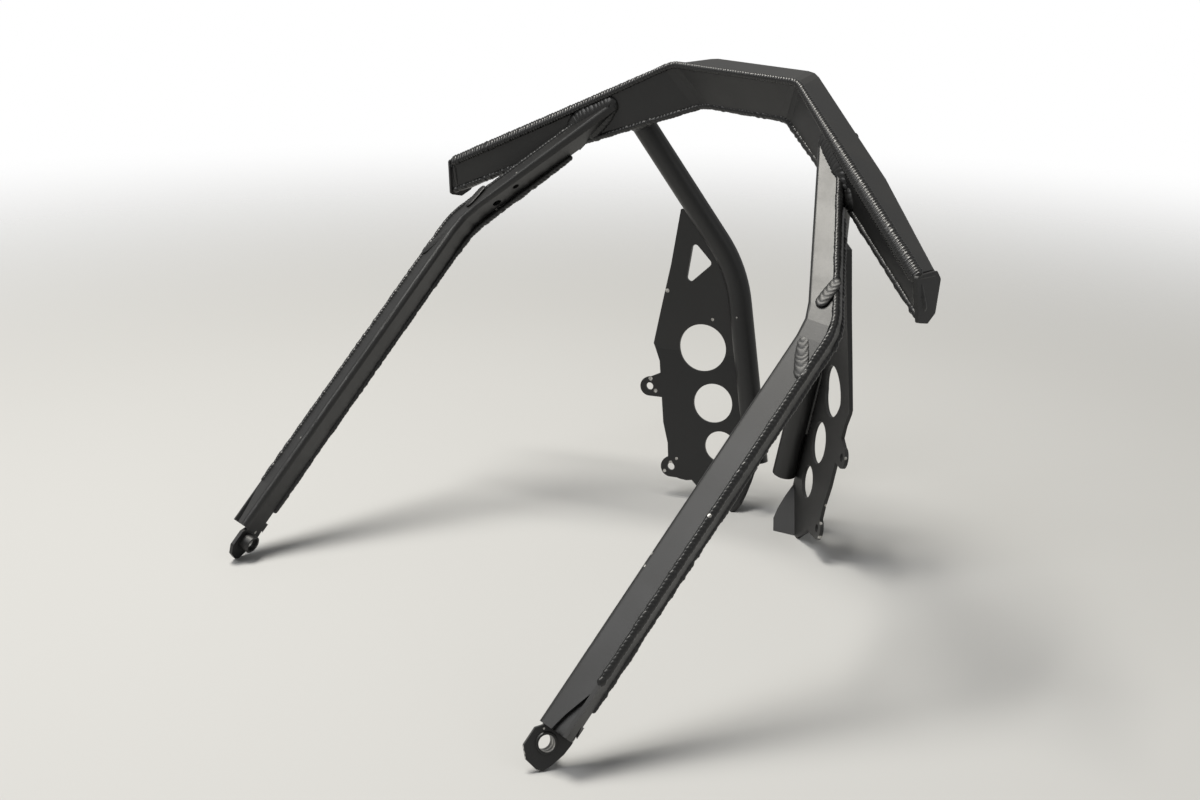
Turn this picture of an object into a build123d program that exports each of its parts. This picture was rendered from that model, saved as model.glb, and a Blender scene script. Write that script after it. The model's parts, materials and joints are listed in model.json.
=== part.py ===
from build123d import *
import os
from math import atan2, cos, hypot, radians, sin, tan

os.makedirs("parts", exist_ok=True)

# Stock: folded sheet, side plate, round tube and seam weld
sheet = 3.0
plate_sheet = 3.2
tube_od = 22.2
tube_wall = 2.1
bead = 3.0             # radius of a seam weld
bead_depth = 1.1       # a seam weld's centre lies this far under both faces
knee_bead_width = 9.5  # the two wide welds across each knee
knee_bead_height = 1.8
knee_bead_inset = 16.0 # they start this far from the folded edge

# Bow: a straight middle and two wings that run back and down
bow_height = 427.3     # top rear edge above the table
bow_reach = 149.75    # top rear edge forward of the origin
bow_half = 77.5        # half the straight middle, along the top rear edge
top_width = 41.7
top_rise = 6.0         # degrees, front edge above rear edge
web_width = 41.9
web_lean = 25.9        # degrees, lower edge forward of upper edge
front_setback = 16.5   # the crease runs this far inboard at the front edge
lower_setback = 27.9   # and this far inboard at the lower edge
wing_length = 256.5
wing_sweep = 23.7      # degrees back
wing_droop = 24.6      # degrees down
shoulder = 125.0       # place along the wing where the taper changes
shoulder_top = 35.5
shoulder_web = 34.8
tip_top = 24.1
tip_web = 30.1
tip_front_rake = 12.3  # the tip is cut plumb, so its front edge is this much shorter
tip_lower_rake = 14.5  # and its lower edge is this much longer
cap_outline = (
    (-0.5, 0.6), (26.0, 0.2), (31.2, -6.5), (24.2, -30.5), (14.0, -36.2), (2.0, -33.6),
)
cap_corner = 2.5
crease_base = (0.55, 0.55)     # place of the front base corner, as shares of top and rear wall
shoulder_base = (0.62, 0.66)
tip_base = (0.65, 0.94)
bow_fold = 4.0         # outside radius of the fold along the front edge
bow_bend = 8.0         # half length of the bend at a crease
bend_steps = 2

# Arms: a folded sheet with a rear and an inner wall, closed by a strip
foot_x = 211.2
foot_y = -229.85
arm_rise = 45.5        # degrees up
arm_toe = 1.1          # degrees outboard
arm_roll = 14.8        # degrees, the rear wall faces this far outboard
rear_wall = 31.1
arm_depth = 27.2       # from the rear wall to the far edge
arm_lean = 24.1        # the far edge lies this far outboard of the folded edge
lower_arm = 355.4      # from the hole to the knee, along the folded edge
knee_tilt = 58.7       # degrees, the plane in which both runs meet
upper_rise = 37.0      # degrees up
upper_toe = 43.4       # degrees inboard
arm_fold = 4.0         # outside radius of the folded edge
knee_bend = 15.0       # half length of the bend at the knee
knee_down_inner = 21.7     # the knee plate reaches this far down the folded edge
knee_down_outer = 44.6     # and this far down the open edge
knee_up_inner = 9.9
knee_up_outer = 32.7
rear_end = 53.0            # the rear wall ends this far above the hole at the open edge
rear_notch = ((23.0, 20.5), (10.0, 17.5))  # its end then runs down through these points
strip_end = 14.0           # the closing strip ends this far above the hole
strip_corner = 9.0
foot_outline = (           # from the hole along the arm, and across from the folded edge
    (9.0, 9.0), (4.5, 5.2), (-10.0, 5.2), (-17.0, 12.5), (-18.5, 22.5),
    (-16.5, 27.5), (-11.0, 30.2), (0.0, 33.5), (9.0, 34.3),
)
foot_corner = 2.5
foot_hole = 12.5
foot_hole_across = 18.2    # from the folded edge
vent_hole = 6.4
vent_along = 54.9
vent_across = 16.0
drain_hole = 8.6
drain_along = 30.2
drain_across = 20.4

# Tubes
tube_x = 18.5
tube_y = 221.55
tube_z = 50.0          # square lower end
tube_out = 12.4        # degrees outboard
tube_forward = 0.9     # degrees
tube_run = 187.0       # from the lower end to the bend
tube_bend = 130.0      # centre line radius
tube_reach = 192.0     # from the bend into the bow
upper_out = 25.5       # degrees outboard
upper_back = 25.8      # degrees

# Side plates, drawn from the tube's centre line at plate_height
plate_height = 90.4
plate_turn = 31.1      # degrees, outer edge back
plate_lean = 7.5       # degrees, top edge forward
plate_fold_y = 58.0    # above this line the plate leans back
plate_fold = 8.3       # degrees
big_hole = 46.6
middle_hole = 38.7
small_hole = 30.6
ear_hole = 7.4
upper_ear = 9.5        # radius
lower_ear = 10.3
cut_out_corner = 3.6
tube_bite = 0.6        # the plate is notched this deep where it lies on the tube
flange_fold = 53.0     # degrees
flange_top = (-4.2, -47.8)       # ends of the fold, on the plate
flange_foot = (26.2, -91.2)
flange_outline = ((0, 0), (12.5, 9.9), (23.8, 17.3), (33.2, 21.7), (49, 22), (54, 0))


def direction(out, forward, up):
    """Unit vector with these parts."""
    return Vector(out, forward, up).normalized()


def mirrored(point):
    """The same point on the other side."""
    return Vector(-point.X, point.Y, point.Z)


def meet(start, heading, plane):
    """Where a line meets a plane."""
    return start + heading * ((plane.origin - start).dot(plane.z_dir) / heading.dot(plane.z_dir))


def wall_normals(here, there):
    """Outward normals of the walls between two neighbouring stations."""
    middle = sum(here, Vector()) / len(here)
    normals = []
    for k, corner in enumerate(here):
        normal = (here[(k + 1) % len(here)] - corner).cross(there[k] - corner).normalized()
        if normal.dot(middle - here[k]) > 0:
            normal = normal * -1
        normals.append(normal)
    return normals


def inset(stations, depths):
    """Stations of a box after each wall moves inward by its own depth."""
    spans = [wall_normals(a, b) for a, b in zip(stations, stations[1:])]
    moved = []
    for index, corners in enumerate(stations):
        touching = spans[max(index - 1, 0):index + 1]
        walls = [sum((span[k] for span in touching), Vector()) for k in range(len(corners))]
        shift = [-len(touching) * depth for depth in depths]
        across = (corners[1] - corners[0]).cross(corners[2] - corners[0]).normalized()
        station = []
        for k in range(len(corners)):
            first, second = walls[k - 1], walls[k]
            step = second.cross(across) * shift[k - 1] + across.cross(first) * shift[k]
            station.append(corners[k] + step / across.dot(first.cross(second)))
        moved.append(station)
    return moved


def bent(stations, index, half):
    """Replace one station by several that round its bend off."""
    before, corners, after = stations[index - 1:index + 2]
    curve = []
    for step in range(bend_steps + 1):
        t = step / bend_steps
        station = []
        for a, b, c in zip(before, corners, after):
            start = b + (a - b).normalized() * half
            end = b + (c - b).normalized() * half
            station.append(start * (1 - t) ** 2 + b * (2 * t * (1 - t)) + end * t ** 2)
        curve.append(station)
    return stations[:index] + curve + stations[index + 1:]


def on_plane(plane, point):
    """A point's place on a plane, seen square to it."""
    local = plane.to_local_coords(point)
    return (local.X, local.Y)


def section(corners, rounded, radius):
    """Flat section in space, with some corners rounded."""
    across = (corners[1] - corners[0]).cross(corners[2] - corners[0])
    plane = Plane(origin=corners[0], x_dir=corners[1] - corners[0], z_dir=across)
    with BuildSketch(plane, mode=Mode.PRIVATE) as outline:
        with BuildLine():
            Polyline([on_plane(plane, corner) for corner in corners], close=True)
        make_face()
        if radius > 0:
            places = [on_plane(plane, corners[k]) for k in rounded]
            fillet([outline.vertices().sort_by_distance(place)[0] for place in places], radius)
    return outline.sketch.face()


def box(stations, depths=None, rounded=(), radius=0, mode=Mode.ADD):
    """Box through the stations, each wall moved inward by its depth."""
    depths = depths or [0] * len(stations[0])
    loft([section(corners, rounded, radius) for corners in inset(stations, depths)], ruled=True, mode=mode)


def seam(stations, corner, bend, reach=0):
    """Round weld along one corner of a box, run on by reach at its far end."""
    points = [station[corner] for station in inset(stations, [bead_depth] * len(stations[0]))]
    if reach:
        points[-1] = points[-1] + (points[-1] - points[-2]).normalized() * reach
    runs = [(b - a).normalized() for a, b in zip(points, points[1:])]
    turns = [a.get_angle(b) for a, b in zip(runs, runs[1:])]
    kept = [point for point, turn in zip(points[1:-1], turns) if turn > 0.5]
    with BuildLine() as route:
        FilletPolyline(points[0], *kept, points[-1], radius=bend / tan(radians(max(turns) / 2)))
    with BuildSketch(Plane(origin=route.line @ 0, z_dir=route.line % 0)) as profile:
        Circle(bead)
    sweep(profile.sketch, path=route.line)


# Bow stations from the left tip to the right tip. Each has its rear top, its front top, its front
# base and its rear lower corner; a shallow fold runs from base to base and deepens towards the tips.
TOP, FRONT, BASE, LOWER = 0, 1, 2, 3
wing = direction(
    cos(radians(wing_sweep)) * cos(radians(wing_droop)),
    -sin(radians(wing_sweep)) * cos(radians(wing_droop)),
    -sin(radians(wing_droop)),
)
crease_top = Vector(bow_half, bow_reach, bow_height)
crease_front = crease_top + Vector(
    -front_setback, top_width * cos(radians(top_rise)), top_width * sin(radians(top_rise))
)
crease_lower = crease_top + Vector(
    -lower_setback, web_width * sin(radians(web_lean)), -web_width * cos(radians(web_lean))
)
to_front = crease_front - crease_top
to_front = (to_front - wing * to_front.dot(wing)).normalized()
to_lower = crease_lower - crease_top
to_lower = (to_lower - wing * to_lower.dot(wing)).normalized()
wing_mid = crease_top + wing * shoulder
wing_tip = crease_top + wing * wing_length


def station(top, front, lower, share):
    """Four corners; the base lies at two shares of the top and the rear wall."""
    return [top, front, top + (front - top) * share[0] + (lower - top) * share[1], lower]


right_wing = [
    station(crease_top, crease_front, crease_lower, crease_base),
    station(wing_mid, wing_mid + to_front * shoulder_top, wing_mid + to_lower * shoulder_web, shoulder_base),
    station(
        wing_tip,
        wing_tip + to_front * tip_top - wing * tip_front_rake,
        wing_tip + to_lower * tip_web + wing * tip_lower_rake,
        tip_base,
    ),
]
left_wing = [[mirrored(corner) for corner in station] for station in reversed(right_wing)]
sharp_bow = left_wing + right_wing
bow = bent(bent(sharp_bow, 3, bow_bend), 2, bow_bend)
tip_top_point, tip_front_point = bow[-1][TOP], bow[-1][FRONT]
tip_across = (bow[-1][LOWER] - tip_top_point).cross(tip_front_point - tip_top_point).normalized()
if tip_across.X < 0:
    tip_across = tip_across * -1
tip_ahead = Vector(-tip_across.Y, tip_across.X, 0)
tip_plane = Plane(origin=tip_top_point - tip_across * sheet, x_dir=tip_ahead, z_dir=tip_across)
web_inward = wing.cross(to_lower)
if web_inward.Y < 0:
    web_inward = web_inward * -1
web_plane = Plane(origin=crease_top, z_dir=web_inward)

# Seam welds of the bow: one along its rear top corner and one along its lower corner
with BuildPart() as bow_rear_weld:
    seam(sharp_bow, TOP, bow_bend)
    split(bisect_by=tip_plane, keep=Keep.BOTTOM)
    split(bisect_by=Plane.YZ, keep=Keep.TOP)
    mirror(about=Plane.YZ)

with BuildPart() as bow_lower_weld:
    seam(sharp_bow, LOWER, bow_bend)
    split(bisect_by=tip_plane, keep=Keep.BOTTOM)
    split(bisect_by=Plane.YZ, keep=Keep.TOP)
    mirror(about=Plane.YZ)

# Bow skin: one folded sheet, the top and the front wall, open at the rear
with BuildPart() as bow_skin:
    box(bow, rounded=(FRONT,), radius=bow_fold)
    box(bow, (sheet, sheet, sheet, -sheet), (FRONT,), bow_fold - sheet, mode=Mode.SUBTRACT)
    split(bisect_by=tip_plane, keep=Keep.BOTTOM)
    split(bisect_by=Plane.YZ, keep=Keep.TOP)
    mirror(about=Plane.YZ)
    add(bow_rear_weld.part, mode=Mode.SUBTRACT)
    add(bow_lower_weld.part, mode=Mode.SUBTRACT)

# Bow web: the bent strip that closes the rear
middle_inward = Vector(0, cos(radians(web_lean)), sin(radians(web_lean)))
with BuildPart() as bow_web:
    box(bow, (sheet, sheet, sheet, -sheet), (FRONT,), bow_fold - sheet)
    box(bow, (-sheet, -sheet, -sheet, 0), mode=Mode.INTERSECT)
    split(bisect_by=Plane(origin=crease_top + middle_inward * sheet, z_dir=middle_inward), keep=Keep.BOTTOM)
    split(bisect_by=Plane(origin=crease_top + web_inward * sheet, z_dir=web_inward), keep=Keep.BOTTOM)
    other_inward = mirrored(web_inward)
    split(bisect_by=Plane(origin=mirrored(crease_top) + other_inward * sheet, z_dir=other_inward), keep=Keep.BOTTOM)
    split(bisect_by=tip_plane, keep=Keep.BOTTOM)
    split(bisect_by=Plane.YZ, keep=Keep.TOP)
    mirror(about=Plane.YZ)
    add(bow_rear_weld.part, mode=Mode.SUBTRACT)
    add(bow_lower_weld.part, mode=Mode.SUBTRACT)

# End plate of the bow: it stands a little over the front and the base
with BuildPart() as bow_cap:
    with BuildSketch(tip_plane) as outline:
        with BuildLine():
            Polyline(cap_outline, close=True)
        make_face()
        fillet(outline.vertices(), cap_corner)
    extrude(amount=sheet)

# Arm stations from the foot to the bow: folded edge, open edge and far edge
FOLDED, OPEN, FAR = 0, 1, 2
lower_run = direction(
    sin(radians(arm_toe)) * cos(radians(arm_rise)),
    cos(radians(arm_toe)) * cos(radians(arm_rise)),
    sin(radians(arm_rise)),
)
upper_run = direction(
    -sin(radians(upper_toe)) * cos(radians(upper_rise)),
    cos(radians(upper_toe)) * cos(radians(upper_rise)),
    sin(radians(upper_rise)),
)
level = direction(cos(radians(arm_toe)), -sin(radians(arm_toe)), 0)
rear_across = level * cos(radians(arm_roll)) - level.cross(lower_run) * sin(radians(arm_roll))
rear_inward = lower_run.cross(rear_across)
inner_across = (rear_across * arm_lean + rear_inward * arm_depth).normalized()
foot_z = -min(along * lower_run.Z + across * inner_across.Z for along, across in foot_outline)
foot = Vector(foot_x, foot_y, foot_z)
edges = [foot, foot + rear_across * rear_wall, foot + rear_across * arm_lean + rear_inward * arm_depth]
knee_point = foot + lower_run * lower_arm
knee_plane = Plane(origin=knee_point, z_dir=(0, cos(radians(knee_tilt)), sin(radians(knee_tilt))))
knee = [meet(edge, lower_run, knee_plane) for edge in edges]
top = [meet(corner, upper_run, web_plane) for corner in knee]
arm_start = rear_notch[-1][0]
sharp_arm = [[edge + lower_run * arm_start for edge in edges], knee, top]
arm = bent(sharp_arm, 1, knee_bend)
inner_plane = Plane(origin=foot, x_dir=lower_run, z_dir=lower_run.cross(inner_across))
rear_plane = Plane(origin=foot, x_dir=lower_run, z_dir=rear_inward)
knee_side = (knee[OPEN] - knee[FOLDED]).normalized()
knee_ends = [
    knee[FOLDED] - lower_run * knee_down_inner,
    knee[OPEN] - lower_run * knee_down_outer,
    knee[OPEN] + upper_run * knee_up_outer,
    knee[FOLDED] + upper_run * knee_up_inner,
]
upper_across = knee[FAR] - knee[FOLDED]
upper_across = (upper_across - upper_run * upper_across.dot(upper_run)).normalized()
upper_plane = Plane(origin=knee[FOLDED], x_dir=upper_run, z_dir=upper_run.cross(upper_across))

# Seam welds of the right arm, along the open edge and the far edge
with BuildPart() as arm_rear_weld:
    seam(sharp_arm, OPEN, knee_bend, reach=sheet)
    split(bisect_by=Plane(origin=foot + lower_run * rear_end, z_dir=lower_run), keep=Keep.TOP)
    split(bisect_by=web_plane, keep=Keep.BOTTOM)
    add(bow_lower_weld.part, mode=Mode.SUBTRACT)

with BuildPart() as arm_front_weld:
    seam(sharp_arm, FAR, knee_bend, reach=sheet)
    split(bisect_by=Plane(origin=foot + lower_run * (strip_end + strip_corner), z_dir=lower_run), keep=Keep.TOP)
    split(bisect_by=web_plane, keep=Keep.BOTTOM)
    add(bow_lower_weld.part, mode=Mode.SUBTRACT)


# Outline of the knee plate, cut out of the rear wall between both welds
fold_angle = atan2(arm_depth, arm_lean)
fold_width = sheet / tan(fold_angle) + sheet / sin(fold_angle)
knee_mid = (knee_ends[0] + knee_ends[1] + knee_ends[2] + knee_ends[3]) / 4
knee_outward = (knee_side.cross(upper_run) + rear_inward * -1).normalized()
knee_face = Plane(origin=knee_mid, x_dir=knee_side, z_dir=knee_outward)
knee_outline = [
    knee_ends[0] + knee_side * (fold_width + 2),
    knee_ends[1] + knee_side * 4,
    knee_ends[2] + knee_side * 4,
    knee_ends[3] + knee_side * (fold_width + 2),
]
with BuildPart() as knee_window:
    with BuildSketch(knee_face) as outline:
        with BuildLine():
            Polyline([on_plane(knee_face, point) for point in knee_outline], close=True)
        make_face()
    extrude(outline.sketch, amount=2 * sheet, both=True)

# Right arm: the folded sheet with its rear and inner walls
with BuildPart() as arm_blank:
    box(arm, (0, sheet, 0), (FOLDED,), arm_fold)
    box(arm, (sheet, 0, sheet), (FOLDED,), arm_fold - sheet, mode=Mode.SUBTRACT)
    add(arm_rear_weld.part, mode=Mode.SUBTRACT)
    add(arm_front_weld.part, mode=Mode.SUBTRACT)
    add(bow_lower_weld.part, mode=Mode.SUBTRACT)

with BuildPart() as knee_plate:
    add(arm_blank.part)
    add(knee_window.part, mode=Mode.INTERSECT)


def knee_weld(low, high, outward):
    """Wide flat weld laid on the rear wall between two points."""
    run = (high - low).normalized()
    with BuildLine() as route:
        Line(low + knee_side * knee_bead_inset, high - knee_side * bead_depth)
    with BuildSketch(Plane(origin=route.line @ 0, x_dir=run.cross(outward), z_dir=route.line % 0)) as profile:
        Ellipse(knee_bead_width / 2, knee_bead_height)
    sweep(profile.sketch, path=route.line)


# Welds across the right knee, below and above the knee plate: what stands over the rear wall
with BuildPart() as knee_lower_weld:
    knee_weld(knee_ends[0], knee_ends[1], rear_inward * -1)
    add(arm_blank.part, mode=Mode.SUBTRACT)
    add(arm_rear_weld.part, mode=Mode.SUBTRACT)

with BuildPart() as knee_upper_weld:
    knee_weld(knee_ends[3], knee_ends[2], knee_side.cross(upper_run))
    add(arm_blank.part, mode=Mode.SUBTRACT)
    add(arm_rear_weld.part, mode=Mode.SUBTRACT)

# The rear wall ends on a slant, the inner wall runs on to a flat foot with a hole
inner_width = hypot(arm_lean, arm_depth)
fold_flat = arm_fold / tan(fold_angle / 2)
foot_end = [(strip_end + 4, fold_flat), *foot_outline, (strip_end + 4, inner_width - 3)]
with BuildPart() as arm_sheet:
    add(arm_blank.part)
    add(knee_window.part, mode=Mode.SUBTRACT)
    with BuildSketch(rear_plane) as outline:
        with BuildLine():
            Polyline(
                (rear_end, rear_wall),
                *rear_notch,
                (arm_start, fold_width),
                (arm_start - sheet, fold_width),
                (arm_start - sheet, rear_wall + sheet),
                (rear_end, rear_wall + sheet),
                close=True,
            )
        make_face()
    extrude(amount=sheet, mode=Mode.SUBTRACT)
    with BuildSketch(inner_plane) as outline:
        with BuildLine():
            Polyline(foot_end, close=True)
        make_face()
        rounded = [outline.vertices().sort_by_distance(corner)[0] for corner in foot_outline[2:7]]
        fillet(rounded, foot_corner)
    extrude(amount=-sheet)
    with Locations(inner_plane.location * Location((0, foot_hole_across))):
        Cylinder(foot_hole / 2, 3 * sheet, mode=Mode.SUBTRACT)
    for along, across, size in ((vent_along, vent_across, vent_hole), (drain_along, drain_across, drain_hole)):
        with Locations(upper_plane.location * Location((along, across))):
            Cylinder(size / 2, 3 * sheet, mode=Mode.SUBTRACT)

# Closing strip of the right arm, bent at the knee
strip_plane = Plane(origin=edges[FAR], x_dir=lower_run, z_dir=(edges[OPEN] - edges[FAR]).cross(lower_run))
strip_width = (edges[OPEN] - edges[FAR]).length
with BuildPart() as closing_strip:
    box(arm)
    box(arm, (0, sheet, 0), mode=Mode.SUBTRACT)
    add(arm_rear_weld.part, mode=Mode.SUBTRACT)
    add(arm_front_weld.part, mode=Mode.SUBTRACT)
    add(bow_lower_weld.part, mode=Mode.SUBTRACT)
    with BuildSketch(strip_plane) as outline:
        with BuildLine():
            Polyline(
                (strip_end, 2 * strip_width),
                (strip_end, 0),
                (strip_end + strip_corner, 0 - strip_corner),
                (-3 * strip_corner, -strip_corner),
                (-3 * strip_corner, 2 * strip_width),
                close=True,
            )
        make_face()
    extrude(amount=3 * sheet, both=True, mode=Mode.SUBTRACT)

# Right tube
lower_tube = direction(tan(radians(tube_out)), tan(radians(tube_forward)), 1)
upper_tube = direction(tan(radians(upper_out)), -tan(radians(upper_back)), 1)
tube_start = Vector(tube_x, tube_y, tube_z)
tube_corner = tube_start + lower_tube * tube_run
tube_end = tube_corner + upper_tube * tube_reach
with BuildLine() as tube_line:
    FilletPolyline(tube_start, tube_corner, tube_end, radius=tube_bend)

with BuildPart() as tube_solid:
    with BuildSketch(Plane(origin=tube_start, z_dir=lower_tube)):
        Circle(tube_od / 2)
    sweep(path=tube_line.line)

with BuildPart() as tube:
    add(tube_solid.part)
    with BuildSketch(Plane(origin=tube_start, z_dir=lower_tube)) as bore:
        Circle(tube_od / 2 - tube_wall)
    sweep(bore.sketch, path=tube_line.line, mode=Mode.SUBTRACT)
    box(bow, mode=Mode.SUBTRACT)
    add(bow_lower_weld.part, mode=Mode.SUBTRACT)

# Right side plate: x across the plate and y up it, from the tube's centre line
plate_across = direction(cos(radians(plate_turn)), -sin(radians(plate_turn)), 0)
plate_forward = Vector(
    sin(radians(plate_turn)) * cos(radians(plate_lean)),
    cos(radians(plate_turn)) * cos(radians(plate_lean)),
    -sin(radians(plate_lean)),
)
plate_up = plate_across.cross(plate_forward)
axis_point = tube_start + lower_tube * ((plate_height - tube_z) / lower_tube.Z)
plate_origin = axis_point + plate_forward * (tube_od / 2 - tube_bite)
plate_plane = Plane(origin=plate_origin, x_dir=plate_across, z_dir=plate_forward * -1)
plate_outline = [
    (20, -100), (-6, -50), (0, 0), (25, 140), (62, 200),
    (81, 196.5), (89.7, 142.8), (97.9, 103.6), (106.1, 62.6), (99.1, 45.4),
    (91.5, -15), (85.6, -35.5), (84, -52), (78.8, -67.8), (70.9, -70),
    (64, -70.7), (58.6, -69.6), (53.1, -75), (26, -94),
]
triangle = [(68.3, 168), (48.6, 146.8), (75.3, 121.5)]
holes = ((56.4, 63.1, big_hole), (42.6, 9.4, middle_hole), (32.4, -32.7, small_hole))
ears = ((107.8, 19.1, upper_ear), (80.8, -58.9, lower_ear))
with BuildPart() as side_plate:
    with BuildSketch(Plane(origin=plate_origin, x_dir=plate_forward, z_dir=plate_across)) as profile:
        with BuildLine():
            bend = plate_sheet * tan(radians(plate_fold / 2))
            back = tan(radians(plate_fold))
            Polyline(
                (0, -110),
                (plate_sheet, -110),
                (plate_sheet, plate_fold_y + bend),
                (plate_sheet - 200 * back, plate_fold_y + bend + 200),
                (-200 * back - plate_sheet, plate_fold_y + 200),
                (0, plate_fold_y),
                close=True,
            )
        make_face()
    extrude(profile.sketch, amount=150, both=True)
    with BuildSketch(plate_plane) as outline:
        with BuildLine():
            Polyline(plate_outline, close=True)
        make_face()
        for x, y, radius in ears:
            with Locations((x, y)):
                Circle(radius)
            with BuildLine():
                Polyline((x, y + radius), (x - 16, y + radius + 8), (x - 16, y - radius), (x, y - radius), close=True)
            make_face()
        for x, y, size in holes:
            with Locations((x, y)):
                Circle(size / 2, mode=Mode.SUBTRACT)
        for x, y, radius in ears:
            with Locations((x, y)):
                Circle(ear_hole / 2, mode=Mode.SUBTRACT)
        with BuildSketch(mode=Mode.PRIVATE) as cut_out:
            with BuildLine():
                Polyline(triangle, close=True)
            make_face()
            fillet(cut_out.vertices(), cut_out_corner)
        add(cut_out.sketch, mode=Mode.SUBTRACT)
    extrude(outline.sketch, amount=80, both=True, mode=Mode.INTERSECT)
    # Flange along the bottom, folded back
    fold_top = plate_plane.from_local_coords(flange_top + (-plate_sheet / 2,))
    fold_foot = plate_plane.from_local_coords(flange_foot + (-plate_sheet / 2,))
    fold = (fold_foot - fold_top).normalized()
    outward = plate_forward.cross(fold)
    flange_across = outward * cos(radians(flange_fold)) - plate_forward * sin(radians(flange_fold))
    flange_plane = Plane(origin=fold_top, x_dir=fold, z_dir=fold.cross(flange_across))
    with BuildSketch(flange_plane) as outline:
        with BuildLine():
            Polyline(flange_outline, close=True)
        make_face()
    extrude(outline.sketch, amount=plate_sheet / 2, both=True)
    with BuildSketch(Plane(origin=fold_top, z_dir=fold)) as profile:
        Circle(plate_sheet / 2)
    extrude(profile.sketch, amount=(fold_foot - fold_top).length)
    split(bisect_by=Plane.XY, keep=Keep.TOP)
    add(tube_solid.part, mode=Mode.SUBTRACT)

nodes = {
    "bow_skin": bow_skin,
    "bow_web": bow_web,
    "bow_rear_weld": bow_rear_weld,
    "bow_lower_weld": bow_lower_weld,
    "bow_cap": bow_cap,
    "arm_sheet": arm_sheet,
    "knee_plate": knee_plate,
    "closing_strip": closing_strip,
    "arm_rear_weld": arm_rear_weld,
    "arm_front_weld": arm_front_weld,
    "knee_lower_weld": knee_lower_weld,
    "knee_upper_weld": knee_upper_weld,
    "tube": tube,
    "side_plate": side_plate,
}
for name, piece in nodes.items():
    body = piece.part.solids().sort_by(SortBy.VOLUME)[-1]
    if name.startswith("bow") and not name.endswith("cap"):
        body.label = name
        export_step(body, f"parts/{name}.step")
        continue
    with BuildPart() as right:
        add(body)
    with BuildPart() as left:
        mirror(body, about=Plane.YZ)
    for side, half in (("right", right), ("left", left)):
        half.part.label = f"{name}_{side}"
        export_step(half.part, f"parts/{name}_{side}.step")
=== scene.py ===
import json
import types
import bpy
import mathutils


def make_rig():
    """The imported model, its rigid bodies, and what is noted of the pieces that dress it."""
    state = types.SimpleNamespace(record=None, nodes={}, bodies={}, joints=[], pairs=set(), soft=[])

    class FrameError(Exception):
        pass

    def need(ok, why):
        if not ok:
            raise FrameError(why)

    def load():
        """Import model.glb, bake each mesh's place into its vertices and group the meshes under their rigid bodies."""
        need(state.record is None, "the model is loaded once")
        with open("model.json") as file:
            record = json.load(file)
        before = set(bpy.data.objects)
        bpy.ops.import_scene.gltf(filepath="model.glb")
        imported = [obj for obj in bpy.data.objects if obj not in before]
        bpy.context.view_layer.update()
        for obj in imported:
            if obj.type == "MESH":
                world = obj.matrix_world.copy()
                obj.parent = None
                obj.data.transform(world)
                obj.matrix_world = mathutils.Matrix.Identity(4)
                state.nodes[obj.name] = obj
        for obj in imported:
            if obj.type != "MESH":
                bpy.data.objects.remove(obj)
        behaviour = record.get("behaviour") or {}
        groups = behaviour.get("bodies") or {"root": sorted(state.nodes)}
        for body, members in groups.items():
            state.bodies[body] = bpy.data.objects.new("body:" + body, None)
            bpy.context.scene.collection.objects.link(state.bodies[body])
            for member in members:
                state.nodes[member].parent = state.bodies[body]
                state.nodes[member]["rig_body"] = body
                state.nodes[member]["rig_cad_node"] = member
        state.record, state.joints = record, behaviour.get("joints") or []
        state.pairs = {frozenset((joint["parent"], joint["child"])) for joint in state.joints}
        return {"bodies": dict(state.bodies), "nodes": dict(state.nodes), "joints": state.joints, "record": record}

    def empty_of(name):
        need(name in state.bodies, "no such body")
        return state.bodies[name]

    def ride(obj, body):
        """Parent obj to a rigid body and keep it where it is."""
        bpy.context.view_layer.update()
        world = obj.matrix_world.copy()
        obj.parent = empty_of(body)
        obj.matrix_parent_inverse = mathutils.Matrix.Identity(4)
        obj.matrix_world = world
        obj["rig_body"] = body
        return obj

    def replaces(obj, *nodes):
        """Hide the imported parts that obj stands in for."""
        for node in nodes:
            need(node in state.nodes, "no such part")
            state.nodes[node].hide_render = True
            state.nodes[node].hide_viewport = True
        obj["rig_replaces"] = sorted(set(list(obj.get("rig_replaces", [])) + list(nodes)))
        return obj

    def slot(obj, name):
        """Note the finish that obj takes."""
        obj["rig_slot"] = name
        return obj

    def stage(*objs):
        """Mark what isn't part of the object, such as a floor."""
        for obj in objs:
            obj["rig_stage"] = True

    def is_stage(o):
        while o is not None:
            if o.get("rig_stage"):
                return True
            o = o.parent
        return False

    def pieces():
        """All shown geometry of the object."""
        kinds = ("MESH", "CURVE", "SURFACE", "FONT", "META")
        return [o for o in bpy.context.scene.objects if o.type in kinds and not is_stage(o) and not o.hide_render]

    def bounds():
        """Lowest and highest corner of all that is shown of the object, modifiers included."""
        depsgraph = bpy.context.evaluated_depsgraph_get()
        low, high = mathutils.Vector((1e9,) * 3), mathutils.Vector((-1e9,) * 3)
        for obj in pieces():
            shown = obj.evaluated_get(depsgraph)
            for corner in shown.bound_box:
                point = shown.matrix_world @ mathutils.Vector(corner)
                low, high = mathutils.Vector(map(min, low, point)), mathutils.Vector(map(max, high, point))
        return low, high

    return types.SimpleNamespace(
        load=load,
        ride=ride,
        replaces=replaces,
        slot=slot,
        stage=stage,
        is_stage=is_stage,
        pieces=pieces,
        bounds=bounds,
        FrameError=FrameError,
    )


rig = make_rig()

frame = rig.load()

import json

import bmesh
import bpy
import numpy as np
from mathutils import Matrix

scene = bpy.context.scene
nodes = frame["nodes"]


def write_bounds(key):
    low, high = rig.bounds()
    path = "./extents.json"
    sizes = {}
    if key != "loaded":
        sizes = json.load(open(path))
    sizes[key] = [list(low), list(high)]
    with open(path, "w") as out:
        json.dump(sizes, out)


write_bounds("loaded")

# Bow: the cross bar and its two wings, one folded aluminium sheet closed at the rear by a bent web
# and at the tips by end plates. It is powder coated matt black and shows fine rubs and a little dust.


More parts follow.
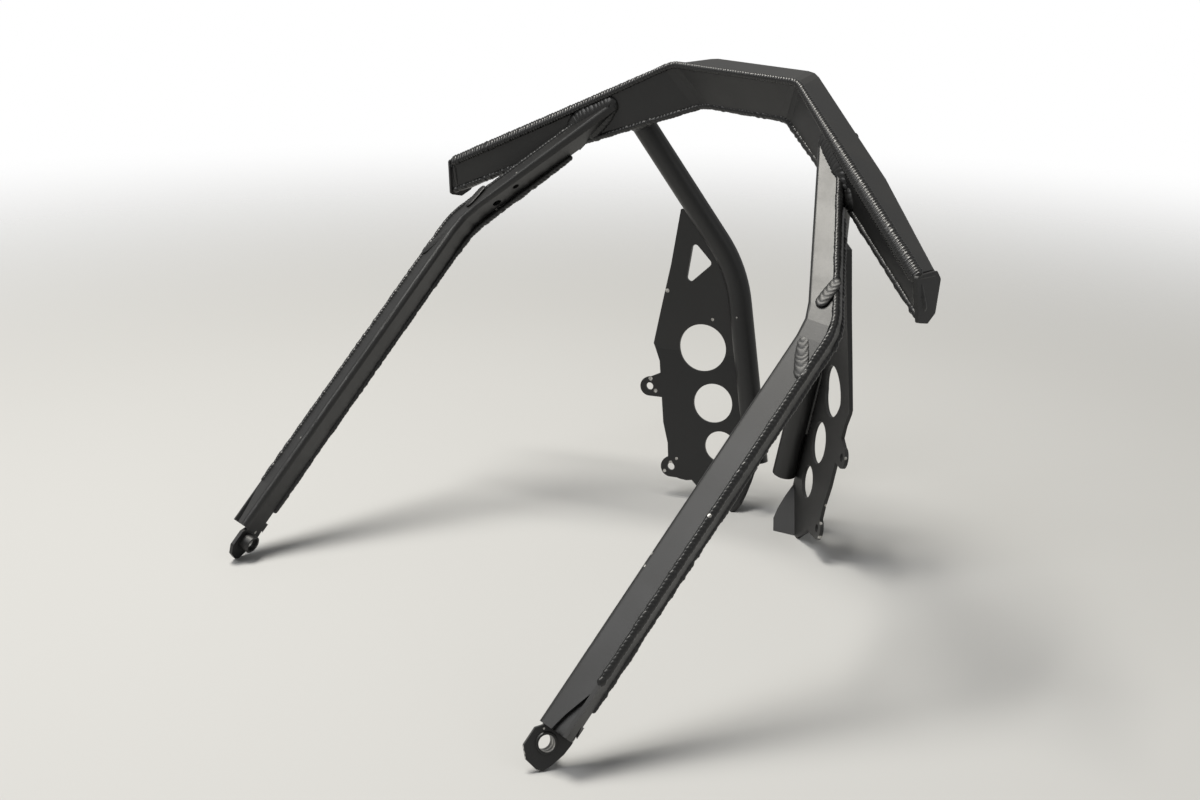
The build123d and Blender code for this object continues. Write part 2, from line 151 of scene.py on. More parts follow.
class Socket:
    """A shader value with arithmetic, and a method that makes any node."""

    def __init__(self, tree, value):
        self.tree = tree
        self.value = value

    def node(self, kind, settings=None, output=0, **inputs):
        """Add a node, set its settings, then its inputs by name or as i0, i1, and return one output."""
        made = self.tree.nodes.new(kind)
        for name, setting in (settings or {}).items():
            setattr(made, name, setting)
        for name, value in inputs.items():
            slot = made.inputs[int(name[1:])] if name[0] == "i" and name[1:].isdigit() else made.inputs[name]
            if isinstance(value, Socket):
                value = value.value
            if isinstance(value, bpy.types.NodeSocket):
                self.tree.links.new(value, slot)
            else:
                slot.default_value = value
        return Socket(self.tree, made.outputs[output])

    def maths(self, operation, *values):
        """One math node on this value and the others."""
        inputs = {f"i{k}": value for k, value in enumerate((self,) + values)}
        return self.node("ShaderNodeMath", {"operation": operation}, **inputs)

    def __add__(self, other):
        return self.maths("ADD", other)

    def __sub__(self, other):
        return self.maths("SUBTRACT", other)

    def __rsub__(self, other):
        return (self * -1.0) + other

    def __mul__(self, other):
        return self.maths("MULTIPLY", other)

    def __truediv__(self, other):
        return self.maths("DIVIDE", other)

    def larger(self, other):
        """The larger of two values."""
        return self.maths("MAXIMUM", other)

    def step(self, low, high):
        """0 at low, 1 at high and smooth between them."""
        return self.node(
            "ShaderNodeMapRange",
            {"interpolation_type": "SMOOTHSTEP", "clamp": True},
            i0=self, i1=low, i2=high, i3=0.0, i4=1.0,
        )

    def mix(self, other, factor):
        """This colour turned into another by a factor."""
        return self.node("ShaderNodeMix", {"data_type": "RGBA"}, output=2, i0=factor, i6=self, i7=other)

    def noise(self, scale, detail=4.0, rough=0.55, stretch=(1.0, 1.0, 1.0)):
        """Noise at this place, scale in cells per metre."""
        place = self
        if stretch != (1.0, 1.0, 1.0):
            place = self.node("ShaderNodeMapping", Vector=self, Scale=stretch)
        return place.node("ShaderNodeTexNoise", Vector=place, Scale=scale, Detail=detail, Roughness=rough)


def new_material(name):
    """A material with an empty tree, its main shader and its object-space place."""
    material = bpy.data.materials.new(name)
    material.use_nodes = True
    tree = material.node_tree
    tree.nodes.clear()
    shader = tree.nodes.new("ShaderNodeBsdfPrincipled")
    output = tree.nodes.new("ShaderNodeOutputMaterial")
    tree.links.new(shader.outputs[0], output.inputs[0])
    coordinates = tree.nodes.new("ShaderNodeTexCoord")
    return material, shader, Socket(tree, coordinates.outputs["Object"])


def wire(shader, **inputs):
    """Connect or set the main shader's inputs, with underscores for spaces."""
    for name, value in inputs.items():
        slot = shader.inputs[name.replace("_", " ")]
        if isinstance(value, Socket):
            value.tree.links.new(value.value, slot)
        else:
            slot.default_value = value


def colour(place, rgb):
    """A constant colour as a socket."""
    made = place.tree.nodes.new("ShaderNodeRGB")
    made.outputs[0].default_value = (*rgb, 1.0)
    return Socket(place.tree, made.outputs[0])


def powder_coat(name, base=0.012, rough=0.42, dust=0.5, orange=0.10, chips=(), rim_highlights=()):
    """Matt black powder coat: fine orange peel, thin dust on what faces up, hairline rubs and bare chips.

    base is the black's own grey and orange the strength of the peel. chips say where the coat is gone, as
    spots takes them; the rim list paints highlight as bare metal on the lit lower side of hole rims.
    """
    dust_colour = (0.10, 0.095, 0.085)
    rub_colour = (0.045, 0.044, 0.042)
    bright_metal_and_highlight = (0.66, 0.65, 0.62)
    dull_metal_and_highlight = (0.32, 0.31, 0.29)
    material, shader, place = new_material(name)
    peel = place.noise(1500.0, 2.0)
    broad = place.noise(24.0, 3.0)
    fine = place.noise(420.0, 5.0, 0.65)
    rubs = place.noise(38.0, 6.0, 0.75, stretch=(1.0, 7.0, 7.0)).step(0.66, 0.72)
    normal = place.node("ShaderNodeNewGeometry", output=1)
    upward = place.node("ShaderNodeSeparateXYZ", i0=normal, output=2)
    powder = upward.step(0.2, 1.0) * broad.step(0.4, 0.7) * (fine * 0.6 + 0.4) * dust
    tint = colour(place, (base, base, base)).mix(colour(place, dust_colour), powder * 0.18)
    tint = tint.mix(colour(place, rub_colour), rubs * 0.3)
    gloss = broad.step(0.3, 0.75) * 0.05 + fine * 0.05 + (rough - 0.05) + powder * 0.08
    if chips:
        bare_and_highlight = spots(place, chips, 1.3)
        # Painted highlight: the lit lower side of the listed hole rims takes the bare-metal colour as well.
        if rim_highlights:
            bare_and_highlight = bare_and_highlight.larger(painted_rim_highlights(place, rim_highlights) * fine.step(0.35, 0.5))
        metal_and_highlight = colour(place, bright_metal_and_highlight).mix(colour(place, dull_metal_and_highlight), fine.step(0.42, 0.62))
        tint = tint.mix(metal_and_highlight, bare_and_highlight)
        wire(shader, Metallic=bare_and_highlight * 0.7)
    bump = place.node("ShaderNodeBump", Strength=orange, Distance=0.0006, Height=peel * 0.5 + fine * 0.3)
    wire(shader, Base_Color=tint, Roughness=gloss, Normal=bump)
    return material


def paint(material, *names):
    """Give CAD nodes a material."""
    for name in names:
        mesh = nodes[name].data
        mesh.materials.clear()
        mesh.materials.append(material)


bow_coat = powder_coat("bow_coat", rough=0.47, dust=0.6)
paint(bow_coat, "bow_skin", "bow_web", "bow_cap_left", "bow_cap_right")

# Welds along the rear edges of the bow. The top one is a hand-laid row of small drops, narrow over
# the middle and wide along both wings, where the coat flows thin and glossy over the ripples. The
# lower one is coarser, with a ragged edge and a few chips.


def spots(place, centres, edge):
    """1 inside any of the given balls, with a ragged edge; each ball is x, y, z and radius in millimetres."""
    ragged = (place.noise(700.0, 4.0, 0.7) - 0.5) * edge
    mask = None
    for x, y, z, radius in centres:
        away = place.node(
            "ShaderNodeVectorMath", {"operation": "DISTANCE"}, output=1, i0=place, i1=(x / 1000, y / 1000, z / 1000)
        )
        inside = ((away * 1000.0 / radius) + ragged).step(1.0, 0.8)
        mask = inside if mask is None else mask.larger(inside)
    return mask


def rounded(points, half):
    """A polyline whose inner corners become short arcs that start and end half away from the corner."""
    points = np.asarray(points, float)
    if len(points) < 3:
        return points
    t = np.linspace(0.0, 1.0, 9)[:, None]
    rows = [points[:1]]
    for a, b, c in zip(points, points[1:], points[2:]):
        start = b + (a - b) * half / np.linalg.norm(a - b)
        end = b + (c - b) * half / np.linalg.norm(c - b)
        rows.append(start * (1 - t) ** 2 + b * 2 * t * (1 - t) + end * t**2)
    return np.concatenate(rows + [points[-1:]])


def along(points, values, place):
    """Values given at points of a path, read at other lengths along it, and the path's whole length."""
    travel = np.concatenate([[0.0], np.cumsum(np.linalg.norm(np.diff(points, axis=0), axis=1))])
    return np.stack([np.interp(place, travel, column) for column in np.asarray(values, float).T], 1), travel[-1]


def unit(rows):
    """Vectors brought to length 1."""
    return rows / np.linalg.norm(rows, axis=-1, keepdims=True)


def add_piece(mesh, material, slot):
    """Coat a finished mesh and put it on the one body under the mesh's own name."""
    mesh.materials.append(material)
    made = bpy.data.objects.new(mesh.name, mesh)
    scene.collection.objects.link(made)
    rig.ride(made, "root")
    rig.slot(made, slot)
    return made


def weld_bead(name, centre, corner, material, width, height, pitch=2.9, ripple=0.16, curve=0.5,
              ragged=0.05, bend=8.0, seed=1, detail=0.4, flare=1.0, sides=1.0):
    """A weld bead: a flattened round section whose size steps with every drop of filler.

    centre is the line inside the metal and corner the line it covers, in millimetres; the bead bulges
    from one to the other. width is half the bead's breadth and height how far it bulges, or lists of
    them along the bead. Each drop, pitch long, swells the section by the share ripple, and the square
    of the place across, times curve, bends its edge into a crescent, rounded the way the bead was laid.
    Both ends are round. ragged lets every drop wander a little in size, flare above 1 lets the section
    run out thin at both borders, and sides is the share of the swelling that the breadth takes. bend
    rounds the line's corners, and detail is the distance between sections.
    """
    route = rounded(centre, bend)
    cover = rounded(corner, bend)
    length = along(route, route, [0.0])[1]
    count = int(length / detail) + 8
    s = np.linspace(0.0, length, count)
    line, _ = along(route, route, s)
    out, _ = along(route, cover - route, s)
    ahead = unit(np.gradient(line, axis=0))
    out = unit(out - ahead * np.sum(out * ahead, 1, keepdims=True))
    side = np.cross(out, ahead)

    random = np.random.default_rng(seed)
    drops = np.arange(int(length / pitch) + 3)
    jitter = np.interp(s / pitch, drops, random.normal(0.0, 1.0, len(drops)))
    slow = np.interp(s / (5 * pitch), drops, random.normal(0.0, 1.0, len(drops)))
    turns = 26
    angle = np.linspace(0.0, 2 * np.pi, turns, endpoint=False)
    u, v = np.cos(angle), np.sign(np.sin(angle)) * np.abs(np.sin(angle)) ** flare
    phase = s[:, None] / pitch + 0.12 * jitter[:, None] + curve * u[None, :] ** 2
    drop = phase - np.floor(phase)
    swell = np.sin(np.pi * drop) ** 0.45
    grow = 1.0 + ripple * (swell - 0.75) + ragged * jitter[:, None] + 0.5 * ragged * slow[:, None]

    share = s / length
    wide = np.interp(share, np.linspace(0, 1, len(np.atleast_1d(width))), np.atleast_1d(width))
    tall = np.interp(share, np.linspace(0, 1, len(np.atleast_1d(height))), np.atleast_1d(height))
    ends = np.minimum(np.minimum(s, length - s) / wide, 1.0)
    close = np.sqrt(np.clip(1.0 - (1.0 - ends) ** 2, 0.0, 1.0)) * 0.97 + 0.03
    deep = np.where(v[None, :] > 0.0, tall[:, None], np.minimum(wide, 3.0)[:, None])
    grid = (
        line[:, None, :]
        + side[:, None, :] * (u[None, :] * (wide * close)[:, None] * (1.0 + sides * (grow - 1.0)))[..., None]
        + out[:, None, :] * (v[None, :] * deep * close[:, None] * grow)[..., None]
    )

    vertices = np.concatenate([grid.reshape(-1, 3), line[:1], line[-1:]]) / 1000.0
    ring = np.arange(turns)
    after = (ring + 1) % turns
    rows = np.arange(count - 1)[:, None] * turns
    quads = np.stack([rows + ring, rows + after, rows + turns + after, rows + turns + ring], -1).reshape(-1, 4)
    last = (count - 1) * turns
    first_cap = np.stack([np.full(turns, count * turns), after, ring], 1)
    last_cap = np.stack([np.full(turns, count * turns + 1), last + ring, last + after], 1)
    mesh = bpy.data.meshes.new(name)
    mesh.from_pydata(vertices.tolist(), [], quads.tolist() + first_cap.tolist() + last_cap.tolist())
    mesh.polygons.foreach_set("use_smooth", np.ones(len(mesh.polygons), bool))
    return add_piece(mesh, material, "coated_weld")


def other_side(points):
    """The same points on the left."""
    return [(-x, y, z) for x, y, z in points]


def whole(points):
    """A line of the right half run on to the left half."""
    return other_side(reversed(points)) + list(points)


bead_coat = powder_coat("bead_coat", base=0.014, rough=0.27, dust=0.2, orange=0.04)
rough_bead_coat = powder_coat(
    "rough_bead_coat", base=0.013, rough=0.34, dust=0.2, orange=0.06,
    chips=[(243.0, -91.7, 162.0, 1.6), (-234.9, 12.1, 268.5, 2.2), (-226.2, 14.3, 273.5, 1.6)],
)

top_centre = [(76.2, 151.7, 426.5), (181.1, 105.8, 372.8), (289.8, 58.2, 318.6)]
top_corner = [(77.5, 149.8, 427.3), (181.1, 104.3, 374.0), (289.8, 56.6, 319.8)]
top_bead = weld_bead(
    "bow_top_bead", whole(top_centre), whole(top_corner), bead_coat,
    width=[5.4, 5.4, 5.2, 4.2, 3.2, 3.0, 3.0, 3.2, 4.2, 5.2, 5.4, 5.4],
    height=[3.2, 3.2, 3.1, 2.9, 2.7, 2.7, 2.7, 2.7, 2.9, 3.1, 3.2, 3.2],
    pitch=3.0, ripple=0.27, curve=0.3, ragged=0.03, seed=4,
)
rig.replaces(top_bead, "bow_rear_weld")

low_centre = [(50.7, 168.5, 392.0), (171.1, 114.0, 345.6), (290.5, 61.0, 290.1)]
low_corner = [(49.6, 168.1, 389.6), (170.0, 113.5, 343.8), (290.5, 60.0, 288.3)]
low_bead = weld_bead(
    "bow_lower_bead", whole(low_centre), whole(low_corner), rough_bead_coat,
    width=[3.0], height=[2.8], pitch=3.6, ripple=0.16, ragged=0.09, seed=9,
)
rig.replaces(low_bead, "bow_lower_weld")

# Tips of the wings: the end plate is welded all round. At the rear the weld is dressed to a smooth
# round edge, and at the top corner two glossy drops are left where the seam was finished.
tip_drops = ((1, (285.6, 57.8, 321.4), 4.0), (2, (289.0, 57.8, 317.6), 3.0))
for side, flip in (("right", list), ("left", other_side)):
    weld_bead(
        f"tip_edge_{side}",
        flip([(287.4, 60.6, 316.5), (288.0, 63.4, 303.0), (288.2, 66.6, 292.0)]),
        flip([(288.5, 59.0, 316.9), (289.1, 61.8, 303.2), (289.3, 65.0, 292.0)]),
        rough_bead_coat, width=[3.4, 4.6, 4.8], height=[2.8, 3.8, 3.4], pitch=9.0, ripple=0.03, ragged=0.02,
        bend=6.0, seed=3,
    )
    weld_bead(
        f"tip_top_{side}",
        flip([(289.2, 58.0, 319.2), (287.3, 80.0, 318.2)]),
        flip([(289.6, 58.0, 320.6), (287.7, 80.0, 319.6)]),
        bow_coat, width=[1.9, 1.6], height=[1.7, 1.4], pitch=5.0, ripple=0.06, ragged=0.04, seed=8,
    )
    for number, (x, y, z), size in tip_drops:
        weld_bead(
            f"tip_drop_{number}_{side}",
            flip([(x - 2.0, y + 1.5, z - 0.6), (x + 1.6, y + 0.6, z - 2.2)]),
            flip([(x - 1.4, y + 0.3, z + 0.8), (x + 2.0, y - 0.8, z - 0.8)]),
            bead_coat, width=[size], height=[size * 0.72], pitch=2.6, ripple=0.3, curve=0.8, seed=number,
        )

# Arms: folded sheet with a rear and an inner wall, two small holes past the knee and a flat foot
# with a mounting hole. Each arm's nose is cropped short of the bow, where its weld goes round it. The
# coat is chipped to bare metal on the foot and along edges, and the lit lower side of the hole rims
# carries painted highlight in bare-metal colour.


def painted_rim_highlights(place, rim_highlights):
    """1 on the lit lower part of a hole's rim, a painted highlight; each rim is its centre, its radius in millimetres
    and the lit direction.
    """
    mask = None
    for centre, radius, toward in rim_highlights:
        offset = place.node(
            "ShaderNodeVectorMath", {"operation": "SUBTRACT"}, i0=place, i1=tuple(c / 1000 for c in centre)
        )
        away = offset.node("ShaderNodeVectorMath", {"operation": "LENGTH"}, output=1, i0=offset) * 1000.0
        lean = offset.node("ShaderNodeVectorMath", {"operation": "DOT_PRODUCT"}, output=1, i0=offset, i1=toward)
        # Painted highlight: only the part of the rim toward the lit side is marked.
        ring = (away - radius).maths("ABSOLUTE").step(0.75, 0.35) * (lean * 1000.0).step(0.2 * radius, 0.7 * radius)
        mask = ring if mask is None else mask.larger(ring)
    return mask


arm_chips = [
    (-188.0, 61.8, 323.0, 1.2), (-223.7, -156.0, 100.2, 1.1), (219.1, -123.8, 133.5, 1.3), (220.1, -131.0, 126.6, 1.1),
    (-223.1, -206.4, 20.7, 1.6), (-225.6, -214.6, 3.6, 1.8), (-217.0, -236.0, 20.0, 1.8), (215.4, -234.8, 17.6, 1.5),
    (216.4, -235.2, 14.2, 1.8), (217.6, -235.2, 11.0, 1.4), (230.0, -200.8, 16.0, 1.8), (219.0, -219.0, 28.4, 0.8),
    (-215.5, 58.5, 284.1, 1.2), (211.6, -222.4, 36.0, 1.2), (-211.8, -223.0, 36.4, 1.3),
]
# Painted highlight on the lit lower side of the foot holes and the left knee holes: centre, radius, lit direction.
arm_rim_highlights = [
    ((219.6, -218.4, 17.6), 6.7, (0.2, 0.5, -0.84)), ((-219.6, -218.4, 17.6), 6.7, (-0.3, 0.7, -0.6)),
    ((-208.2, 61.0, 287.2), 4.6, (-0.5, 0.5, -0.7)), ((-190.0, 50.0, 305.0), 3.4, (-0.5, 0.5, -0.7)),
]
arm_coat = powder_coat("arm_coat", rough=0.40, dust=0.25, orange=0.16, chips=arm_chips, rim_highlights=arm_rim_highlights)
paint(arm_coat, "knee_plate_left", "knee_plate_right")
crop_x, crop_y, crop_z = 0.1275, 0.129, 0.3865
crop_aside, crop_forward, crop_up = -0.799, 0.340, 0.495
flat_walls = 0.12  # radians; a fold sharper than this keeps its edge
for side, sign in (("right", 1.0), ("left", -1.0)):
    shape = bmesh.new()
    shape.from_mesh(nodes[f"arm_sheet_{side}"].data)
    bmesh.ops.remove_doubles(shape, verts=shape.verts[:], dist=1e-6)
    cut = bmesh.ops.bisect_plane(
        shape, geom=shape.verts[:] + shape.edges[:] + shape.faces[:], clear_outer=True,
        plane_co=(crop_x * sign, crop_y, crop_z), plane_no=(crop_aside * sign, crop_forward, crop_up),
    )
    bmesh.ops.holes_fill(shape, edges=[part for part in cut["geom_cut"] if isinstance(part, bmesh.types.BMEdge)])
    arm_mesh = bpy.data.meshes.new(f"arm_cropped_{side}")
    shape.to_mesh(arm_mesh)
    shape.free()
    arm_mesh.polygons.foreach_set("use_smooth", np.ones(len(arm_mesh.polygons), bool))
    arm_mesh.set_sharp_from_angle(angle=flat_walls)
    cropped = add_piece(arm_mesh, arm_coat, "coated_sheet")
    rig.replaces(cropped, f"arm_sheet_{side}")

# Closing strips: a bent strip of the same sheet shuts each arm's open side. Its coat is a little
# duller than the walls'.
strip_coat = powder_coat("strip_coat", rough=0.50, dust=0.2)
paint(strip_coat, "closing_strip_left", "closing_strip_right")

# Welds along the arms: the closing strip is joined to both walls by hand, so these beads wander and
# carry small lumps. Past the knee the far one is broader and laid over the inner wall's edge.
open_centre = [(240.4, -188.0, 59.9), (244.5, 26.5, 278.1), (160.5, 115.1, 370.0)]
open_corner = [(242.0, -188.6, 60.4), (246.2, 25.8, 278.5), (162.7, 114.1, 370.0)]
far_centre = [(228.5, -184.6, 32.4), (231.8, 28.0, 249.4), (230.9, 44.6, 264.4), (167.6, 111.4, 335.8)]
far_corner = [(228.5, -182.9, 30.8), (231.4, 30.0, 247.9), (229.6, 45.9, 262.4), (166.3, 112.7, 333.8)]
for side, flip, seed in (("right", list, 21), ("left", other_side, 37)):
    rear = weld_bead(
        f"arm_rear_bead_{side}", flip(open_centre), flip(open_corner), rough_bead_coat,
        width=[3.1], height=[2.2], pitch=3.4, ripple=0.14, ragged=0.07, bend=15.0, seed=seed,
    )
    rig.replaces(rear, f"arm_rear_weld_{side}")
    front = weld_bead(
        f"arm_front_bead_{side}", flip(far_centre), flip(far_corner), rough_bead_coat,
        width=[3.1, 3.1, 3.1, 3.1, 4.0, 4.3, 4.3], height=[2.3, 2.3, 2.3, 2.3, 2.8, 3.0, 3.0], pitch=3.8,
        ripple=0.16, ragged=0.09, bend=12.0, seed=seed + 1,
    )
    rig.replaces(front, f"arm_front_weld_{side}")

# Welds across each knee: broad and low, with deep crescents, one below and one above the set-in
# plate. They are dressed nearly flush and carry the same coat as the wall.
for side, flip in (("right", list), ("left", other_side)):
    lower = weld_bead(
        f"knee_lower_bead_{side}",
        flip([(226.5, 11.7, 270.2), (243.9, -7.8, 246.6)]), flip([(226.7, 11.0, 270.9), (244.1, -8.5, 247.3)]),
        arm_coat, width=[4.6, 5.4, 5.2], height=[0.85], pitch=5.4, ripple=0.55, curve=1.1, ragged=0.02, seed=2,
        detail=0.25, flare=1.4, sides=0.12,
    )
    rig.replaces(lower, f"knee_lower_weld_{side}")
    upper = weld_bead(
        f"knee_upper_bead_{side}",
        flip([(223.4, 50.1, 306.6), (223.6, 29.2, 289.6)]), flip([(223.6, 49.5, 307.4), (223.8, 28.6, 290.4)]),
        arm_coat, width=[4.4, 5.2, 5.0], height=[1.05], pitch=4.8, ripple=0.50, curve=1.1, ragged=0.02, seed=5,
        detail=0.25, flare=1.4, sides=0.15,
    )
    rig.replaces(upper, f"knee_upper_weld_{side}")

# Welds between arm and bow: a broad fillet fills the corner between each arm's end and the web. It
# starts below the closing strip, runs up the rear wall, round the arm's nose and down the inner wall,
# and a second bead is heaped over its start.
fillet_centre = [(171.5, 110.5, 346.0), (163.6, 111.4, 371.0), (127.5, 127.6, 391.0), (136.5, 126.4, 371.0),
                 (152.0, 120.4, 353.5)]
fillet_corner = [(171.2, 107.2, 346.6), (162.9, 108.2, 372.0), (125.6, 124.4, 392.4), (133.7, 124.3, 369.1),
                 (149.2, 118.3, 351.6)]
heel_centre = [(176.5, 110.6, 361.0), (179.0, 110.2, 351.0), (181.2, 110.4, 341.5)]
heel_corner = [(176.8, 107.2, 361.4), (179.3, 106.8, 351.0), (181.5, 107.0, 340.9)]
for side, flip, seed in (("right", list, 51), ("left", other_side, 63)):
    weld_bead(
        f"arm_end_bead_{side}", flip(fillet_centre), flip(fillet_corner), rough_bead_coat,
        width=[6.0, 7.4, 7.8, 7.4, 6.4, 5.6, 4.6, 4.0], height=[3.8, 3.6, 3.3, 3.2, 3.2, 3.0, 2.6, 2.2],
        pitch=4.0, ripple=0.16, curve=0.3, ragged=0.04, bend=9.0, seed=seed,
    )
    weld_bead(
        f"arm_heel_bead_{side}", flip(heel_centre), flip(heel_corner), rough_bead_coat,
        width=[4.6, 6.8, 7.0], height=[3.6, 5.2, 5.0], pitch=5.6, ripple=0.07, ragged=0.05, seed=seed + 3,
    )

# Collars in the foot holes: a short turned tube goes through each foot and stands out on its inner
# side. Its section, given as radius and place along the hole's axis, is turned round that axis.
collar_section = np.array(
    [(6.0, 8.8), (6.3, 9.2), (7.7, 9.2), (8.1, 8.8), (8.1, -3.6), (7.6, -4.3), (6.5, -4.3), (6.0, -3.9)]
)
collar_steps = 64
for side, sign in (("right", 1.0), ("left", -1.0)):
    collar_centre = np.array([219.6 * sign, -218.4, 17.6])
    collar_axis = np.array([-0.8867 * sign, 0.3380, -0.3154])
    across = unit(np.cross(collar_axis, (0.0, 0.0, 1.0)))
    upright = np.cross(collar_axis, across)
    turn = np.linspace(0.0, 2 * np.pi, collar_steps, endpoint=False)
    spoke = np.cos(turn)[:, None] * across + np.sin(turn)[:, None] * upright
    ring = collar_centre + spoke[:, None, :] * collar_section[None, :, :1] + collar_axis * collar_section[None, :, 1:]
    corners = len(collar_section)
    row, column = np.meshgrid(np.arange(collar_steps), np.arange(corners), indexing="ij")
    next_row, next_column = (row + 1) % collar_steps, (column + 1) % corners
    quads = np.stack(
        [
            row * corners + column, row * corners + next_column,
            next_row * corners + next_column, next_row * corners + column,
        ],
        -1,
    ).reshape(-1, 4)
    collar_mesh = bpy.data.meshes.new(f"foot_collar_{side}")
    collar_mesh.from_pydata((ring.reshape(-1, 3) / 1000.0).tolist(), [], quads.tolist())
    shape = bmesh.new()
    shape.from_mesh(collar_mesh)
    bmesh.ops.recalc_face_normals(shape, faces=shape.faces[:])
    shape.to_mesh(collar_mesh)
    shape.free()
    add_piece(collar_mesh, arm_coat, "coated_sheet")

# Tubes and side plates: bent round tube with a flat plate welded to its front. The plates have
# lightening holes and two bolt ears whose holes and rims are worn to bare metal.
plate_chips = [
    (-76.6, 212.3, 181.2, 1.7), (-115.3, 188.1, 205.7, 2.2), (-126.4, 178.7, 115.6, 2.2), (-126.0, 178.0, 107.4, 2.0),
    (-120.6, 180.4, 104.3, 2.0), (-98.7, 183.0, 34.6, 2.0), (-94.0, 186.5, 39.4, 1.6), (-102.9, 179.1, 25.7, 1.8),
    (105.6, 185.6, 54.5, 1.8), (106.4, 179.3, 25.4, 2.6), (104.4, 180.6, 38.0, 1.6), (134.5, 173.5, 110.7, 1.6),
]
plate_coat = powder_coat("plate_coat", rough=0.46, dust=0.3, chips=plate_chips)
paint(plate_coat, "side_plate_left", "side_plate_right")
tube_coat = powder_coat("tube_coat", rough=0.43, dust=0.3, chips=[(-45.2, 213.4, 190.0, 0.9)])
paint(tube_coat, "tube_left", "tube_right")

# Seams between tube and plate: a small fillet on the outer side of each tube, run up to the plate's
# top, and a short thinner one on the inner side.
tube_low = np.array([27.4, 222.2, 90.4])
tube_turn = np.array([58.7, 224.4, 232.6])
tube_ahead = np.array([0.3946, -0.3999, 0.8273])
plate_out = np.array([0.8563, -0.5165, 0.0])
plate_front = np.array([0.5121, 0.8489, -0.1305])
for side, flip in (("right", list), ("left", other_side)):
    for name, outward, forward, size, past_turn in (("outer", 6.6, 9.4, 2.2, 52.0), ("inner", -5.0, 8.3, 1.3, 8.0)):
        seat = plate_out * outward + plate_front * forward
        bulge = plate_out * outward * 1.25 + plate_front * (forward - 1.4)
        seam = [tube_low + (tube_turn - tube_low) * 0.03, tube_turn, tube_turn + tube_ahead * past_turn]
        weld_bead(
            f"tube_seam_{name}_{side}",
            flip([tuple(p + seat) for p in seam]), flip([tuple(p + bulge) for p in seam]),
            rough_bead_coat, width=[size], height=[size * 0.73], pitch=3.4, ripple=0.18, ragged=0.08, bend=31.0,
            seed=71,
        )

# Joint of tube and bow: a smooth weld runs round each tube where it meets the bow's lower face. Its
# line is a circle round the tube, tilted into that face.
bow_face = np.array([0.1794, -0.3693, 0.9118])
joint_centre = np.array([123.2, 159.0, 367.9])
joint_radius = 10.6
joint_across = unit(np.cross(tube_ahead, (0.0, 0.0, 1.0)))
joint_upright = np.cross(tube_ahead, joint_across)
around = np.radians(np.linspace(-172.0, 172.0, 41))[:, None]
spoke = np.cos(around) * joint_across + np.sin(around) * joint_upright
lift = -(spoke @ bow_face)[:, None] * tube_ahead / (tube_ahead @ bow_face)
joint_line = joint_centre + joint_radius * (spoke + lift)
joint_cover = joint_line + 2.0 * spoke - 1.2 * tube_ahead
for side, flip in (("right", list), ("left", other_side)):
    weld_bead(
        f"tube_joint_{side}", flip([tuple(p) for p in joint_line]), flip([tuple(p) for p in joint_cover]),
        rough_bead_coat, width=[3.6], height=[2.2], pitch=3.8, ripple=0.08, ragged=0.03, bend=0.6, seed=81,
    )

# Floor: a plain pale surface that keeps only the object's shadow and fades out with distance.
floor_half = 6.0
floor_colour = (0.58, 0.58, 0.575, 1.0)
fade_start, fade_end = 0.8, 2.4
floor_corners = [(x * floor_half, y * floor_half, 0.0) for x, y in ((-1, -1), (1, -1), (1, 1), (-1, 1))]
floor_mesh = bpy.data.meshes.new("floor")
floor_mesh.from_pydata(floor_corners, [], [(0, 1, 2, 3)])
floor = bpy.data.objects.new("floor", floor_mesh)
scene.collection.objects.link(floor)
floor_paint, floor_shader, floor_place = new_material("floor_paint")
reach = floor_place.node("ShaderNodeVectorMath", {"operation": "LENGTH"}, output=1, i0=floor_place)
wire(floor_shader, Base_Color=floor_colour, Roughness=0.8, Alpha=1.0 - reach.step(fade_start, fade_end))
floor.data.materials.append(floor_paint)
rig.stage(floor)

# Light: a soft panel almost overhead and a weaker one over the rear, whose reflections light the
# rear walls of the arms, a faint one from the side and the pale room itself.
for name, place, aim, size, power, tint in (
    ("overhead_panel", (-0.62, -0.30, 2.75), (0.05, 0.0, 0.25), 1.0, 72.0, (1.0, 0.97, 0.90)),
    ("rear_panel", (-0.53, -1.7, 2.4), (0.1, 0.0, 0.2), 1.5, 24.0, (1.0, 1.0, 1.0)),
    ("side_panel", (2.4, 0.6, 1.8), (0.0, 0.0, 0.2), 1.4, 4.0, (1.0, 1.0, 1.0)),
):
    lamp = bpy.data.lights.new(name, "AREA")
    lamp.shape = "SQUARE"
    lamp.size = size
    lamp.energy = power
    lamp.color = tint
    panel = bpy.data.objects.new(name, lamp)
    toward = unit(np.subtract(aim, place))
    right = unit(np.cross(toward, (0.0, 0.0, 1.0)))
    up = np.cross(right, toward)
    panel.matrix_world = Matrix(
        [[right[k], up[k], -toward[k], place[k]] for k in range(3)] + [[0.0, 0.0, 0.0, 1.0]]
    )
    scene.collection.objects.link(panel)

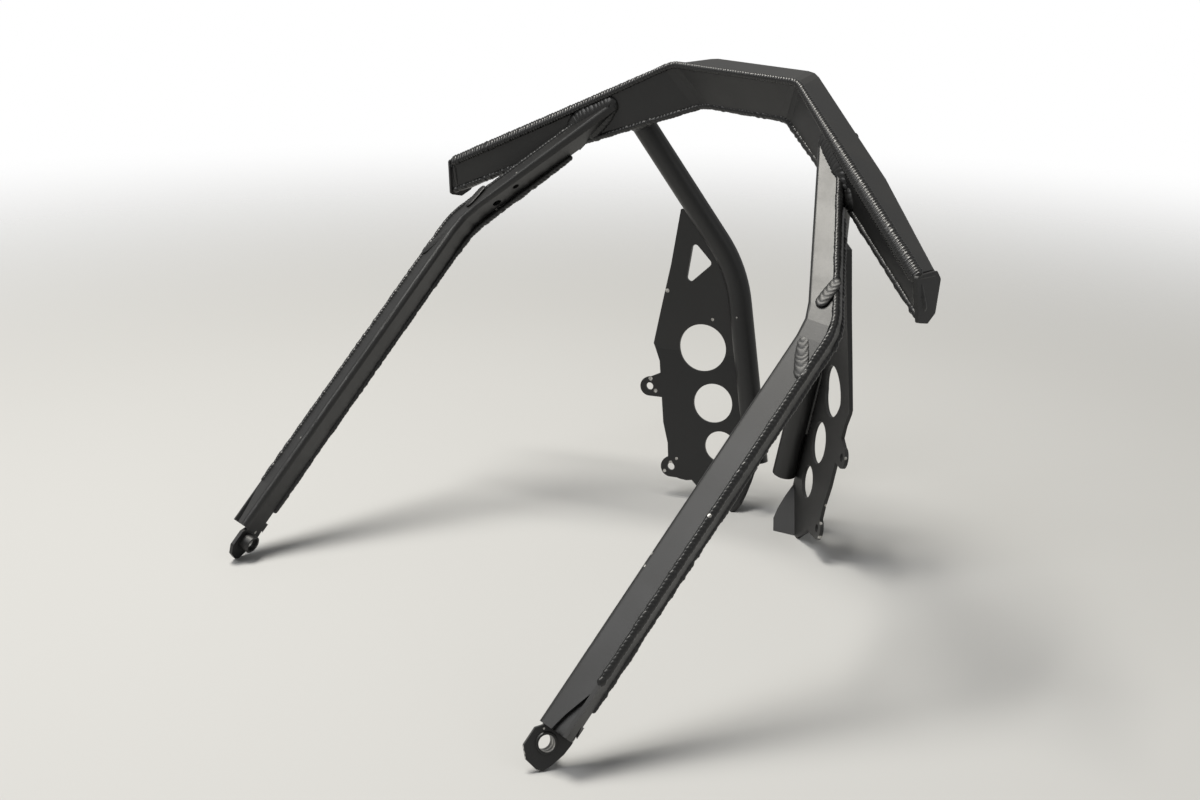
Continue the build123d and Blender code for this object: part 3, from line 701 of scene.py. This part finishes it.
# Room: white where the camera looks past the object, dim for everything that it lights. Glossy
# coats see a quarter of the white.
room_colour, room_strength = (0.92, 0.92, 0.90, 1.0), 0.20
mirrored_share = 0.25
world = bpy.data.worlds.new("room")
world.use_nodes = True
room = world.node_tree
room.nodes.clear()
rays = room.nodes.new("ShaderNodeLightPath")
seen = room.nodes.new("ShaderNodeBackground")
seen.inputs[0].default_value = (1.0, 1.0, 1.0, 1.0)
seen.inputs[1].default_value = 1.0
glow = room.nodes.new("ShaderNodeBackground")
glow.inputs[0].default_value = room_colour
glow.inputs[1].default_value = room_strength
pick = room.nodes.new("ShaderNodeMixShader")
end = room.nodes.new("ShaderNodeOutputWorld")
shown = Socket(room, rays.outputs["Is Camera Ray"]).larger(rays.outputs["Is Transmission Ray"])
shown = shown.larger(Socket(room, rays.outputs["Is Glossy Ray"]) * mirrored_share)
room.links.new(shown.value, pick.inputs[0])
room.links.new(glow.outputs[0], pick.inputs[1])
room.links.new(seen.outputs[0], pick.inputs[2])
room.links.new(pick.outputs[0], end.inputs[0])
scene.world = world

# Camera: behind the right arm and above the table, with its lens given as a focal length in pixels
# of a picture 1200 wide.
yaw, pitch, roll = np.radians([-50.293, -18.569, 0.679])
stand = (0.9745, -0.79985, 0.5872)
focal_pixels, picture_width, sensor_width = 1570.67, 1200.0, 36.0
forward = np.array([np.sin(yaw) * np.cos(pitch), np.cos(yaw) * np.cos(pitch), np.sin(pitch)])
right = np.array([np.cos(yaw), -np.sin(yaw), 0.0])
up = np.cross(right, forward)
turned = np.array([np.cos(roll) * right + np.sin(roll) * up, -np.sin(roll) * right + np.cos(roll) * up, -forward])
camera = bpy.data.objects.new("camera", bpy.data.cameras.new("camera"))
camera.data.lens = sensor_width * focal_pixels / picture_width
camera.data.sensor_width = sensor_width
camera.matrix_world = Matrix([[*turned[:, k], stand[k]] for k in range(3)] + [[0.0, 0.0, 0.0, 1.0]])
scene.collection.objects.link(camera)
scene.camera = camera
scene.view_settings.view_transform = "Standard"

write_bounds("finished")
